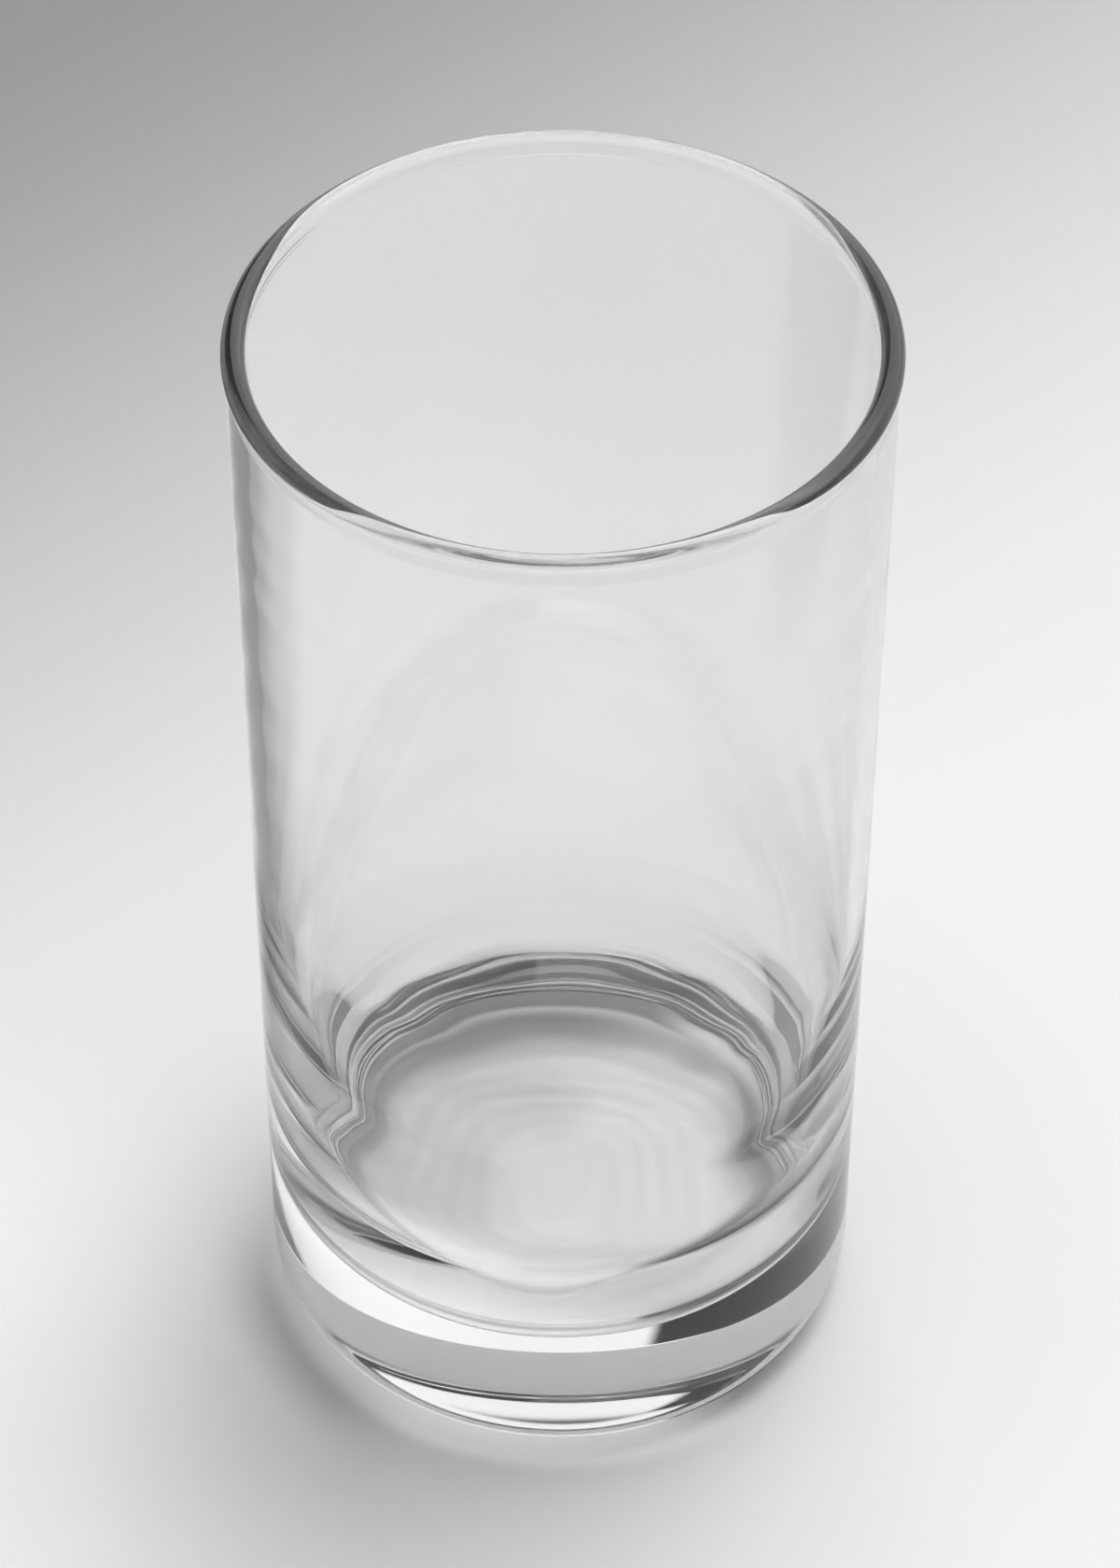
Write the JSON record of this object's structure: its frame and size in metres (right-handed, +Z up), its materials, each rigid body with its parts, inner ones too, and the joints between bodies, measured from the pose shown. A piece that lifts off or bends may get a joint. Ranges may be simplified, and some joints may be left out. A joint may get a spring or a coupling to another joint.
{
  "type": "juice glass",
  "caption": "Straight-sided clear juice glass with a heavy solid base, thin upright wall and rounded fire-polished rim, open at the top for a cold drink.",
  "frame": {"origin": "centre of the bearing ring under the base, on the table", "axes": "+Z up along the glass's axis, through the open mouth; the glass is round, so X and Y are free"},
  "size_m": [0.055, 0.055, 0.1116],
  "materials": {
    "clear_glass": "clear, smooth, fire-polished"
  },
  "bodies": {
    "root": {"heavy_base": "clear_glass", "side_wall": "clear_glass", "rim_bead": "clear_glass"}
  },
  "joints": []
}
